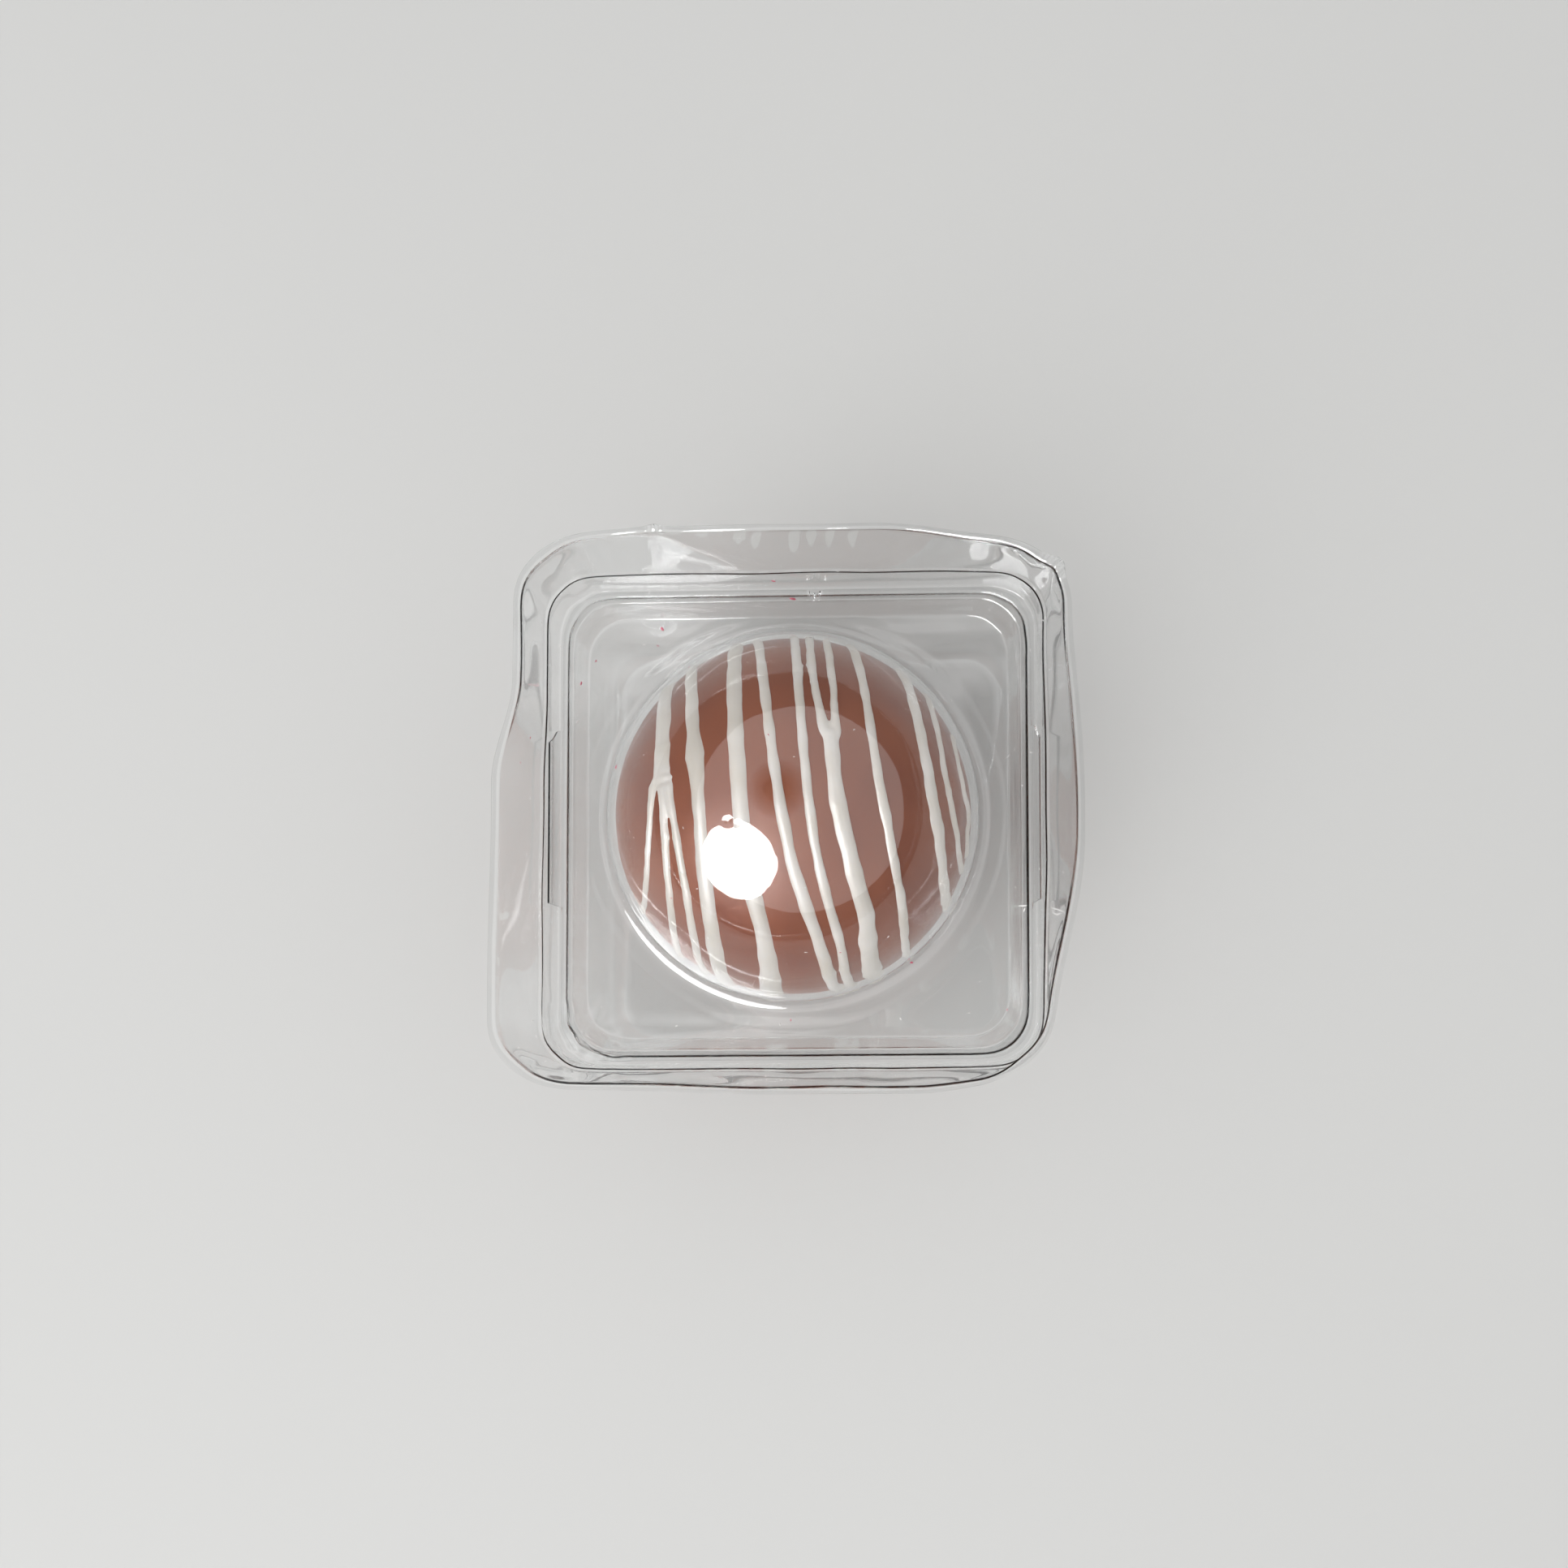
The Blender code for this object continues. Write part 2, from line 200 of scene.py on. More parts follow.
def makeMottleGroup():
    # Two sizes of soft noise: broad drifts over the surface, fine is its grain,
    # and bumps adds up both as a height
    group = bpy.data.node_groups.new("mottle", "ShaderNodeTree")
    face = group.interface
    face.new_socket(name="Vector", in_out="INPUT", socket_type="NodeSocketVector")
    for name, value in (("Broad Scale", 90.0), ("Fine Scale", 900.0), ("Fine Share", 0.5)):
        socket = face.new_socket(name=name, in_out="INPUT", socket_type="NodeSocketFloat")
        socket.default_value = value
    for name in ("Broad", "Fine", "Bumps"):
        face.new_socket(name=name, in_out="OUTPUT", socket_type="NodeSocketFloat")
    nodes, links = group.nodes, group.links
    inside = nodes.new("NodeGroupInput")
    out = nodes.new("NodeGroupOutput")
    broad = addNode(nodes, "ShaderNodeTexNoise", "broad", Detail=1.5, Roughness=0.5)
    fine = addNode(nodes, "ShaderNodeTexNoise", "fine", Detail=2.0, Roughness=0.6)
    links.new(inside.outputs["Vector"], broad.inputs["Vector"])
    links.new(inside.outputs["Vector"], fine.inputs["Vector"])
    links.new(inside.outputs["Broad Scale"], broad.inputs["Scale"])
    links.new(inside.outputs["Fine Scale"], fine.inputs["Scale"])
    share = nodes.new("ShaderNodeMath")
    share.operation = "MULTIPLY_ADD"
    links.new(fine.outputs["Fac"], share.inputs[0])
    links.new(inside.outputs["Fine Share"], share.inputs[1])
    links.new(broad.outputs["Fac"], share.inputs[2])
    links.new(broad.outputs["Fac"], out.inputs["Broad"])
    links.new(fine.outputs["Fac"], out.inputs["Fine"])
    links.new(share.outputs[0], out.inputs["Bumps"])
    return group


mottle = makeMottleGroup()


def addMottle(nodes, links, broadScale, fineScale, fineShare):
    place = nodes.new("ShaderNodeTexCoord")
    node = nodes.new("ShaderNodeGroup")
    node.node_tree = mottle
    node.inputs["Broad Scale"].default_value = broadScale
    node.inputs["Fine Scale"].default_value = fineScale
    node.inputs["Fine Share"].default_value = fineShare
    links.new(place.outputs["Object"], node.inputs["Vector"])
    return node


def addRange(nodes, links, value, low, high, toLow, toHigh):
    node = addNode(nodes, "ShaderNodeMapRange", "", **{
        "From Min": low, "From Max": high, "To Min": toLow, "To Max": toHigh})
    links.new(value, node.inputs["Value"])
    return node.outputs["Result"]


def addBump(nodes, links, shader, height, s):
    node = addNode(nodes, "ShaderNodeBump", "", Distance=s["bump"] * mm, Strength=s["bumpStrength"])
    links.new(height, node.inputs["Height"])
    links.new(node.outputs["Normal"], shader.inputs["Normal"])


driftRange = (0.35, 0.65)  # the part of the broad noise over which a color drifts from dark to light
grainRange = (0.3, 0.7)  # the part of the fine noise over which the roughness changes


def addGrain(nodes, links, shader, s):  # a drifting color and an uneven roughness
    grain = addMottle(nodes, links, s["broadScale"], s["fineScale"], s["fineShare"])
    drift = addRange(nodes, links, grain.outputs["Broad"], *driftRange, 0.0, 1.0)
    links.new(mixColors(nodes, links, drift, s["dark"], s["light"]), shader.inputs["Base Color"])
    rough = addRange(nodes, links, grain.outputs["Fine"], *grainRange, *s["roughness"])
    links.new(rough, shader.inputs["Roughness"])
    return grain


milkChocolateSettings = {
    "dark": (0.176, 0.044, 0.0185),
    "light": (0.236, 0.069, 0.031),
    "roughness": (0.34, 0.46),
    "broadScale": 70.0,
    "fineScale": 1400.0,
    "fineShare": 0.3,
    "bump": 0.05,
    "bumpStrength": 0.5,
    "ior": 1.45,
    "shine": 0.25,
}


def makeMilkChocolate(s):
    material, nodes, links = newMaterial("milkChocolateFinish")
    shader = nodes["Principled BSDF"]
    grain = addGrain(nodes, links, shader, s)
    addBump(nodes, links, shader, grain.outputs["Bumps"], s)
    shader.inputs["IOR"].default_value = s["ior"]
    shader.inputs["Specular IOR Level"].default_value = s["shine"]
    return material


whiteChocolateSettings = {
    "dark": (0.565, 0.52, 0.465),
    "light": (0.66, 0.625, 0.59),
    "roughness": (0.36, 0.5),
    "broadScale": 160.0,
    "fineScale": 1500.0,
    "fineShare": 0.4,
    "bump": 0.05,
    "bumpStrength": 0.5,
    "glowInside": 0.3,  # the share of light that spreads below the surface
    "glowColors": (1.0, 0.8, 0.6),
    "glowReach": 0.6,
}


def makeWhiteChocolate(s):
    material, nodes, links = newMaterial("whiteChocolateFinish")
    shader = nodes["Principled BSDF"]
    grain = addGrain(nodes, links, shader, s)
    addBump(nodes, links, shader, grain.outputs["Bumps"], s)
    shader.inputs["Subsurface Weight"].default_value = s["glowInside"]
    shader.inputs["Subsurface Radius"].default_value = s["glowColors"]
    shader.inputs["Subsurface Scale"].default_value = s["glowReach"] * mm
    return material


clearFilmSettings = {
    "tint": (0.985, 0.99, 0.99),
    "haze": (0.95, 0.96, 0.96),
    "hazeRange": (0.45, 0.75),  # the part of the broad noise over which the tint turns hazy
    "roughness": (0.0, 0.07),
    "smudgeRange": (0.66, 0.86),  # the part of the whole noise over which the film roughens
    "broadScale": 60.0,
    "fineScale": 700.0,
    "fineShare": 0.15,
    "bump": 0.02,
    "bumpStrength": 0.4,
    "ior": 1.48,
    "shadow": (0.985, 0.985, 0.985),
}


def makeClearFilm(s):
    material, nodes, links = newMaterial("clearFilmFinish")
    shader = nodes["Principled BSDF"]
    smudges = addMottle(nodes, links, s["broadScale"], s["fineScale"], s["fineShare"])
    hazy = addRange(nodes, links, smudges.outputs["Broad"], *s["hazeRange"], 0.0, 1.0)
    links.new(mixColors(nodes, links, hazy, s["tint"], s["haze"]), shader.inputs["Base Color"])
    rough = addRange(nodes, links, smudges.outputs["Bumps"], *s["smudgeRange"], *s["roughness"])
    links.new(rough, shader.inputs["Roughness"])
    addBump(nodes, links, shader, smudges.outputs["Broad"], s)
    shader.inputs["Transmission Weight"].default_value = 1.0
    shader.inputs["IOR"].default_value = s["ior"]
    # Soft light goes straight through the film, instead of gathering in bright rings on the floor
    path = nodes.new("ShaderNodeLightPath")
    soft = nodes.new("ShaderNodeMath")
    soft.operation = "MAXIMUM"
    links.new(path.outputs["Is Shadow Ray"], soft.inputs[0])
    links.new(path.outputs["Is Diffuse Ray"], soft.inputs[1])
    through = addNode(nodes, "ShaderNodeBsdfTransparent", "", Color=(*s["shadow"], 1))
    choose = nodes.new("ShaderNodeMixShader")
    links.new(soft.outputs[0], choose.inputs["Fac"])
    links.new(shader.outputs["BSDF"], choose.inputs[1])
    links.new(through.outputs["BSDF"], choose.inputs[2])
    links.new(choose.outputs["Shader"], nodes["Material Output"].inputs["Surface"])
    return material


milkChocolate = makeMilkChocolate(milkChocolateSettings)
whiteChocolate = makeWhiteChocolate(whiteChocolateSettings)
clearFilm = makeClearFilm(clearFilmSettings)
print("materials ready")


def finishPiece(piece, material, slotName, *nodeNames):
    piece.data.materials.clear()
    piece.data.materials.append(material)
    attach(piece, "root")
    if nodeNames:
        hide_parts(*nodeNames)
    print("made", piece.name, len(piece.data.polygons), "faces")


# The ball: a moulded shell, nearly true, with faint broad waves

ballSettings = {
    "segments": 160,
    "rings": 80,
    "waveSize": 9.0,
    "waveHeight": 0.05,
    "dimpleSize": 2.2,
    "dimpleHeight": 0.012,
}


def makeBall(s):
    deselectAll()
    bpy.ops.mesh.primitive_uv_sphere_add(
        segments=s["segments"], ring_count=s["rings"], radius=ballRadius, location=ballMiddle,
        rotation=(0, math.pi / 2, 0))
    ball = newest("chocolateBall")
    settle(ball)
    for vert in ball.data.vertices:  # the waves only go inwards from the true ball
        out = (vert.co - ballMiddle).normalized()
        wave = ripple(vert.co, s["waveSize"] * mm, 3.0) - 1.0
        dimple = ripple(vert.co, s["dimpleSize"] * mm, 8.0) - 1.0
        vert.co += out * (wave * s["waveHeight"] + dimple * s["dimpleHeight"]) * mm
    bpy.ops.object.shade_smooth()
    return ball


ball = makeBall(ballSettings)
finishPiece(ball, milkChocolate, "milk_chocolate", "chocolate_sphere")


# The drizzle: each strand is a round tube, sunk so deep that a low cap of the right width
# stands out of the ball

drizzleSettings = {
    "step": 0.8,
    "lowest": 0.16,  # how far a strand of no width would stand out
    "heightForWidth": 0.17,
    "tallest": 0.66,
    "endTaper": 1.1,  # the length over which an end rounds off
    "endSteps": (0.12, 0.3, 0.55),  # extra points where an end rounds off, as parts of that length
    "tip": 0.03,
    "knobReach": 1.6,
    "knobBack": 0.16,  # how much wider the knob at an end is
    "knobFront": 0.26,
    "wanderSize": 3.6,
    "wander": 0.12,
    "swellSize": 2.6,
    "swell": 0.19,
    "roundness": 4,  # the bevel steps of a tube
    "remesh": 0.275,
    "smoothing": 0.5,
    "smoothTimes": 3,
    # the angle over the top at the back and the front, the width at each, the distance across the ball
    # at even steps between them, and the angles at which the strand really ends
    "strands": {
        "leftTrunk": (75, 6, 3.0, 3.1, (-17.2, -16.9, -16.6, -16.5), (82, 3)),
        "leftBranchOuter": (3, -67, 1.3, 1.1, (-18.0, -18.9, -20.2), (9, -94)),
        "leftBranchMiddle": (1, -72, 1.5, 1.3, (-16.3, -15.8, -15.8), (8, -98)),
        "leftBranchInner": (-1, -78, 1.4, 1.3, (-15.1, -13.2, -12.5), (8, -99)),
        "second": (77, -85, 1.9, 2.6, (-13.7, -12.8, -11.6, -10.7, -10.0, -9.5), (83, -100)),
        "third": (79, -86, 2.0, 2.7, (-7.6, -6.8, -5.8, -4.7, -2.6, -2.9), (85, -102)),
        "fourth": (75, -85, 1.3, 1.8, (-4.5, -2.7, -0.8, 1.5, 4.7, 5.8), (86, -103)),
        "fifth": (69, -82, 1.3, 1.4, (0.9, 2.2, 3.5, 5.0, 7.3, 7.8), (87, -102)),
        "forkLeft": (68, 25, 1.25, 1.2, (3.0, 3.5, 4.4, 5.55), (86, 18)),
        "forkRight": (71, 25, 1.15, 1.1, (5.3, 6.0, 6.8, 7.45), (87, 18)),
        "forkStem": (21, -86, 2.1, 2.6, (6.8, 7.7, 9.4, 11.0, 11.1, 11.1), (24, -105)),
        "seventh": (69, -82, 1.4, 1.5, (9.1, 11.2, 13.0, 14.9, 15.9, 15.7), (88, -106)),
        "eighth": (74, -78, 2.1, 2.1, (15.8, 17.9, 19.6, 20.8, 21.2, 21.3), (90, -109)),
        "ninth": (69, -61, 1.3, 1.3, (19.3, 21.4, 22.9, 23.3), (91, -84)),
        "tenth": (51, -50, 1.2, 1.2, (22.9, 24.4, 24.2), (74, -82)),
    },
    # a place where a strand swells: how far along it, the reach of the swelling and how much wider
    "bulges": {
        "second": ((0.383, 0.045, 0.50), (0.53, 0.05, -0.10)),
        "third": ((0.76, 0.05, -0.16), (0.97, 0.06, 0.20)),
        "fourth": ((0.54, 0.03, 0.12),),
        "forkStem": ((0.09, 0.06, -0.08), (0.72, 0.04, 0.14), (0.98, 0.05, 0.14)),
        "seventh": ((0.50, 0.03, 0.14),),
        "eighth": ((0.58, 0.05, 0.22),),
        "leftTrunk": ((0.95, 0.12, 0.18),),
    },
}


def acrossAt(stations, t):  # a smooth curve through evenly spaced values, going straight on past its ends
    last = len(stations) - 1
    inside = min(max(t, 0.0), 1.0)
    place = inside * last
    i = min(int(place), last - 1)
    f = place - i
    here, after = stations[i], stations[i + 1]
    before = stations[i - 1] if i > 0 else 2 * here - after
    beyond = stations[i + 2] if i + 2 <= last else 2 * after - here
    straight = here + 0.5 * f * (after - before)
    bend = 2 * before - 5 * here + 4 * after - beyond
    twist = 3 * here - before - 3 * after + beyond
    return straight + 0.5 * f * f * (bend + twist * f) + (t - inside) * last * (after - here)


def strandPoints(s, name, row, seed):
    back, front, widthBack, widthFront, stations, ends = row
    length = math.radians(ends[0] - ends[1]) * ballRadius / mm
    count = round(length / s["step"])
    alongs = [length * i / count for i in range(count + 1)]
    alongs += [s["endTaper"] * part for part in s["endSteps"]]
    alongs += [length - s["endTaper"] * part for part in s["endSteps"]]
    points = []
    for along in sorted(alongs):
        angleNow = ends[0] + (ends[1] - ends[0]) * along / length
        t = (back - angleNow) / (back - front)
        fromEnd = min(along, length - along)
        wander = noise.noise(Vector((along / s["wanderSize"], seed, 0.5))) * s["wander"]
        swell = 1 + noise.noise(Vector((along / s["swellSize"], seed, 7.5))) * s["swell"]
        for at, reach, more in s["bulges"].get(name, ()):
            swell += more * hill(t - at, reach)
        knob = s["knobBack"] if along < length / 2 else s["knobFront"]
        swell += knob * hill(fromEnd - s["knobReach"], s["knobReach"])
        rounding = math.sqrt(max(s["tip"], 1 - (1 - min(fromEnd / s["endTaper"], 1.0)) ** 2))
        width = (widthBack + (widthFront - widthBack) * min(max(t, 0.0), 1.0)) * swell * rounding
        tall = min(s["lowest"] + s["heightForWidth"] * width, s["tallest"])
        tubeRadius = ((width / 2) ** 2 + tall**2) / (2 * tall)
        x = (acrossAt(stations, t) + wander) * mm
        angle = math.radians(angleNow)
        ring = math.sqrt(max(ballRadius**2 - x**2, 0.0))
        out = Vector((x, ring * math.sin(angle), ring * math.cos(angle))).normalized()
        points.append((ballMiddle + out * (ballRadius + (tall - tubeRadius) * mm), tubeRadius * mm))
    return points


def makeDrizzle(s):
    tubes = []
    for number, (name, row) in enumerate(s["strands"].items()):
        deselectAll()
        points = strandPoints(s, name, row, number * 3.1)
        curve = bpy.data.curves.new(name, "CURVE")
        curve.dimensions = "3D"
        curve.bevel_depth = 1.0
        curve.bevel_resolution = s["roundness"]
        curve.use_fill_caps = True
        spline = curve.splines.new("POLY")
        spline.points.add(len(points) - 1)
        for knot, (place, radius) in zip(spline.points, points):
            knot.co = (*place, 1.0)
            knot.radius = radius
        tube = bpy.data.objects.new(name, curve)
        bpy.context.scene.collection.objects.link(tube)
        pick(tube)
        bpy.ops.object.convert(target="MESH")
        tubes.append(bpy.context.object)
    deselectAll()
    for tube in tubes:
        tube.select_set(True)
    bpy.context.view_layer.objects.active = tubes[0]
    bpy.ops.object.join()
    drizzle = newest("drizzle")
    addModifier(drizzle, "REMESH", mode="VOXEL", voxel_size=s["remesh"] * mm)
    addModifier(drizzle, "SMOOTH", factor=s["smoothing"], iterations=s["smoothTimes"])
    bpy.ops.object.shade_smooth()
    return drizzle


drizzle = makeDrizzle(drizzleSettings)
finishPiece(drizzle, whiteChocolate, "white_chocolate", "chocolate_sphere")


# The two sheets of film

patchCuts = 3  # how often the edges of a dented or snagged spot are cut, so that it bends finely
dentPatch = 2.5  # how far that spot reaches round a dent, in reaches of the dent
snagPatch = 2.0
tooLittle = 0.01  # a point with a smaller share of a snag stays where it is
leastShift = 0.001  # and one that a crinkle would shift by less than that

noise.seed_set(1)  # without a seed, the vector noise of the crinkles differs from run to run

# where the corners are crinkled: the pixel, the reach, the size of the crinkles and how far they shift
cornerCrinkles = (
    ((722, 1284), 6.0, 2.4, 0.5),
    ((1262, 745), 5.0, 3.0, 0.35),
    ((706, 735), 4.0, 3.0, 0.3),
)

squareSettings = {
    "half": 32.7,
    "longer": 0.15,  # half as much longer from front to back
    "lag": 0.2,  # past that half-width, the length falls behind the width
    "corner": 6.2,
    "cornerSegments": 5,
    "sideCuts": 13,
    "bendSteps": 2,
    "longestStep": 5.5,
}


def halfLength(half):
    s = squareSettings
    return half + s["longer"] - max(half - s["half"], 0.0) * s["lag"]


def startSquare(name, half, height):  # a rounded square, as one flat face
    s = squareSettings
    deselectAll()
    place = (packMiddle.x, packMiddle.y, height * mm)
    bpy.ops.mesh.primitive_plane_add(size=2 * half * mm, location=place)
    sheet = newest(name)
    settle(sheet)
    bpy.ops.object.mode_set(mode="EDIT")
    radius = s["corner"] * half / s["half"] * mm
    bpy.ops.mesh.bevel(offset=radius, segments=s["cornerSegments"], affect="VERTICES")
    selectEdges(sheet, lambda edge: edge.calc_length() > half * mm)
    bpy.ops.mesh.subdivide(number_cuts=s["sideCuts"])
    bpy.ops.mesh.select_all(action="SELECT")
    bpy.ops.transform.resize(value=(1, halfLength(half) / half, 1), center_override=place)
    return sheet


def growRings(profile):  # pulls the picked edge loop along a list of half-widths and heights
    for (half, height), (nextHalf, nextHeight) in zip(profile, profile[1:]):
        lift = (nextHeight - height) * mm
        bpy.ops.mesh.extrude_edges_move(TRANSFORM_OT_translate={"value": (0, 0, lift)})
        bpy.ops.transform.resize(
            value=(nextHalf / half, halfLength(nextHalf) / halfLength(half), 1),
            center_override=(packMiddle.x, packMiddle.y, nextHeight * mm))


def bentProfile(corners):  # rounds each inner corner of (half-width, height, bend) and cuts long stretches up
    s = squareSettings
    bent = [Vector(corners[0][:2])]
    for before, here, after in zip(corners, corners[1:], corners[2:]):
        at = Vector(here[:2])
        toBefore = (Vector(before[:2]) - at).normalized()
        toAfter = (Vector(after[:2]) - at).normalized()
        halfAngle = toBefore.angle(toAfter) / 2
        reach = here[2] / math.tan(halfAngle)
        middle = at + (toBefore + toAfter).normalized() * here[2] / math.sin(halfAngle)
        start = at + toBefore * reach - middle
        end = at + toAfter * reach - middle
        for i in range(s["bendSteps"] + 1):
            bent.append(middle + start.slerp(end, i / s["bendSteps"]).normalized() * here[2])
    bent.append(Vector(corners[-1][:2]))
    profile = [bent[0]]
    for here, after in zip(bent, bent[1:]):
        parts = max(1, math.ceil((after - here).length / s["longestStep"]))
        profile += [here.lerp(after, i / parts) for i in range(1, parts + 1)]
    return profile


traySettings = {
    "film": 0.26,
    # the half-width, the height and the bend of each corner of the profile, from the floor to the cut edge
    "profile": (
        (9.0, 0.2, 0.0),
        (28.9, 0.2, 2.4),
        (32.0, 27.1, 0.5),
        (33.5, 27.1, 0.5),
        (34.8, 32.4, 0.5),
        (35.3, 32.8, 0.5),
        (39.2, 44.8, 0.7),
        (40.3, 44.8, 0.0),
    ),
    "ledgeHeight": 27.1,
    "edgeHeight": 44.8,
    "edgeHalf": 40.3,
    "leanPower": 1.6,
    "leanFrom": 0.3,
    "leanTo": 0.9,
    # the side that moves, where along it the lean starts and is full, and how far the cut edge moves out
    "leans": (
        ((-1, 0), 4.0, 18.0, -2.8),
        ((-1, 0), -2.0, -20.0, 0.3),
        ((1, 0), 2.0, 30.0, -1.5),
        ((1, 0), -4.0, -34.0, -4.3),
        ((0, 1), 12.0, 34.0, -2.2),
        ((0, 1), -18.0, -34.0, -0.8),
        ((0, -1), 0.0, -34.0, -0.9),
        ((0, -1), 18.0, 36.0, -1.5),
    ),
    "cornerTuck": 1.0,
    "tuckFrom": 0.72,  # how near to a corner the tuck starts and is full, as a share of the way there
    "tuckFull": 0.92,
    "waveSize": 11.0,
    "wave": 0.22,
    "waveFrom": 3.0,  # the heights between which the waves grow
    "waveFull": 12.0,
    "calmHeight": 27.5,  # round the ledge there are no waves
    "calmReach": 3.5,
    "edgeWaveSize": 9.0,
    "edgeWave": 0.35,
    # where the cut edge is snagged: its pixel in the frame, the way it is pulled, how far out and up,
    # the reach along the edge and the depth
    "snags": (
        ((804, 637), 100.0, 0.6, 0.35, 1.0, 1.6),
        ((1308, 690), 45.0, 1.3, 0.45, 1.5, 2.2),
    ),
}


def leanTray(sheet, s):
    rise = s["edgeHeight"] - s["ledgeHeight"]
    for vert in sheet.data.vertices:
        share = (vert.co.z / mm - s["ledgeHeight"]) / rise
        if share <= 0:
            continue
        x, y = (vert.co - packMiddle).xy / mm
        grow = share ** s["leanPower"]
        shift = Vector((0.0, 0.0, 0.0))
        for (sideX, sideY), start, full, push in s["leans"]:
            outward = (x * sideX + y * sideY) / s["edgeHalf"]
            amount = push * grow * smoothStep(start, full, y if sideX else x)
            amount *= smoothStep(s["leanFrom"], s["leanTo"], outward)
            shift += Vector((sideX * amount, sideY * amount, 0.0))
        diagonal = smoothStep(s["tuckFrom"], s["tuckFull"], min(abs(x), abs(y)) / s["edgeHalf"])
        inward = Vector((-math.copysign(1, x), -math.copysign(1, y), 0.0)) * math.sqrt(0.5)
        shift += inward * s["cornerTuck"] * diagonal * grow
        shift.z += ripple(vert.co, s["edgeWaveSize"] * mm, 5.0) * s["edgeWave"] * grow * share
        vert.co += shift * mm


def waveSheet(sheet, size, height, seed, shareAt):  # soft waves, where shareAt says how much of them
    sheet.data.update()
    normals = [vert.normal.copy() for vert in sheet.data.vertices]
    for vert, normal in zip(sheet.data.vertices, normals):
        vert.co += normal * ripple(vert.co, size * mm, seed) * height * shareAt(vert.co) * mm


def isNear(at, reach):  # a test for edges that lie this near to a point
    return lambda edge: max((vert.co - at).length for vert in edge.verts) < reach * mm


def snagEdge(sheet, height, snags):  # pulls a cut edge out in small creased spots, where the film was caught
    for pixel, turn, pull, lift, reach, depth in snags:
        at = seenAt(pixel, height * mm)
        outward = Vector((math.cos(math.radians(turn)), math.sin(math.radians(turn)), 0.0))
        along = Vector((-outward.y, outward.x, 0.0))
        pick(sheet)
        bpy.ops.object.mode_set(mode="EDIT")
        selectEdges(sheet, isNear(at, snagPatch * reach + 1))
        bpy.ops.mesh.subdivide(number_cuts=patchCuts, smoothness=1.0)
        leaveEditMode()
        for vert in sheet.data.vertices:
            side = (vert.co - at).dot(along) / mm
            share = hill(side, reach) * hill((vert.co - at).dot(outward) / mm, depth)
            if share > tooLittle:
                crease = math.cos(side / reach * 2 * math.pi)
                vert.co += (outward * pull + Vector((0.0, 0.0, lift * crease))) * share * mm


def dentSheet(sheet, dents):  # small round dents, at a pixel of the frame
    for pixel, reach, depth in dents:
        sheet.data.update()
        eye = camera.matrix_world.translation
        found, at, normal, _ = sheet.ray_cast(eye, (seenAt(pixel, 0.0) - eye).normalized())
        pick(sheet)
        bpy.ops.object.mode_set(mode="EDIT")
        selectEdges(sheet, isNear(at, dentPatch * reach))
        bpy.ops.mesh.subdivide(number_cuts=patchCuts)
        leaveEditMode()
        for vert in sheet.data.vertices:
            vert.co -= normal * hill((vert.co - at).length / mm, reach) * depth * mm


def crinkleCorners(sheet, height):  # shifts the film in small uneven steps at its crinkled corners
    for pixel, reach, size, amount in cornerCrinkles:
        at = seenAt(pixel, height * mm)
        for vert in sheet.data.vertices:
            shift = hill((vert.co - at).length / mm, reach) * amount
            if shift > leastShift:
                vert.co += noise.noise_vector(vert.co / (size * mm)) * shift * mm


sharpFold = math.radians(40)  # folds sharper than that stay crisp


def thicken(sheet, film):
    addModifier(sheet, "SOLIDIFY", thickness=film * mm, offset=0.0, use_even_offset=True,
                use_quality_normals=True)
    pick(sheet)
    bpy.ops.object.shade_smooth_by_angle(angle=sharpFold)


def makeTray(s):
    profile = bentProfile(s["profile"])
    sheet = startSquare("trayFilm", *profile[0])
    selectEdges(sheet, lambda edge: True)
    growRings(profile)
    leaveEditMode()
    addModifier(sheet, "SUBSURF", levels=2, render_levels=2)
    leanTray(sheet, s)

    def onWall(place):  # no waves on the floor and round the ledge
        height = place.z / mm
        grown = smoothStep(s["waveFrom"], s["waveFull"], height)
        return grown * (1 - hill(height - s["calmHeight"], s["calmReach"]))

    waveSheet(sheet, s["waveSize"], s["wave"], 2.0, onWall)
    crinkleCorners(sheet, s["ledgeHeight"])
    snagEdge(sheet, s["edgeHeight"], s["snags"])
    thicken(sheet, s["film"])
    settle(sheet)
    return sheet


tray = makeTray(traySettings)
finishPiece(tray, clearFilm, "clear_tray", "tray")


